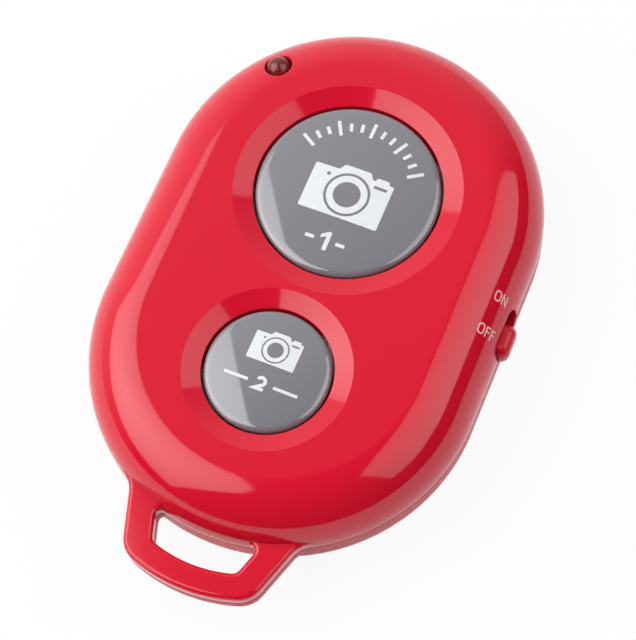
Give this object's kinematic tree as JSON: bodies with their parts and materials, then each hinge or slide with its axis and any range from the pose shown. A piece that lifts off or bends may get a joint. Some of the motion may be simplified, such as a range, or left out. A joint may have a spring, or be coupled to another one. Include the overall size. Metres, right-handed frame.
{
  "type": "camera shutter remote",
  "caption": "Pocket camera shutter remote: oval case with two round push buttons, an indicator lamp, a side slide switch, a lanyard loop and a turn-to-open battery lid.",
  "frame": {"origin": "centre of the case's flat rear face", "axes": "+Z out of the face with the buttons, +Y along the case towards the indicator lamp, +X towards the side with the power switch"},
  "size_m": [0.0337, 0.052, 0.0104],
  "materials": {
    "red_abs": "gloss, injection moulded",
    "grey_abs": "gloss, injection moulded",
    "lamp_epoxy": "clear dark red epoxy",
    "tinned_metal": "tin plated",
    "steel": "plain sheet",
    "contact_metal": "plated spring sheet",
    "board_laminate": "green solder mask",
    "black_plastic": "moulded",
    "capacitor_ceramic": "fired ceramic",
    "copper": "etched copper"
  },
  "bodies": {
    "case": {"front_cover": "red_abs", "rear_cover": "red_abs", "indicator_lens": "lamp_epoxy", "indicator_legs": "tinned_metal", "large_switch_leads": "tinned_metal", "small_switch_leads": "tinned_metal", "power_switch_pins": "tinned_metal", "board_screws": "steel", "large_switch_dome": "steel", "large_switch_cover": "steel", "small_switch_dome": "steel", "small_switch_cover": "steel", "power_switch_case": "steel", "cell_can": "steel", "cell_cap": "steel", "crystal": "steel", "positive_contact": "contact_metal", "negative_contact": "contact_metal", "circuit_board": "board_laminate", "large_switch_base": "black_plastic", "small_switch_base": "black_plastic", "power_switch_base": "black_plastic", "cell_gasket": "black_plastic", "radio_chip": "black_plastic", "memory_chip": "black_plastic", "chip_resistors": "black_plastic", "chip_capacitors": "capacitor_ceramic", "printed_antenna": "copper"},
    "large_button": {"large_button": "grey_abs", "large_switch_plunger": "black_plastic"},
    "small_button": {"small_button": "grey_abs", "small_switch_plunger": "black_plastic"},
    "power_switch": {"switch_knob": "red_abs", "power_switch_slider": "black_plastic"},
    "battery_lid": {"battery_lid": "red_abs"}
  },
  "joints": [
    {"name": "large_button_press", "type": "slide", "parent": "case", "child": "large_button", "axis": [0, 0, -1], "range_m": [0, 0.0003], "stiffness_N_per_m": 4000, "deforming": ["large_switch_dome"]},
    {"name": "small_button_press", "type": "slide", "parent": "case", "child": "small_button", "axis": [0, 0, -1], "range_m": [0, 0.0003], "stiffness_N_per_m": 4000, "deforming": ["small_switch_dome"]},
    {"name": "power_switch_slide", "type": "slide", "parent": "case", "child": "power_switch", "axis": [0, 1, 0], "range_m": [0, 0.0013]},
    {"name": "battery_lid_turn", "type": "hinge", "parent": "case", "child": "battery_lid", "pos_m": [0, 0.002, 0.0005], "axis": [0, 0, -1], "range_deg": [0, 40]}
  ]
}
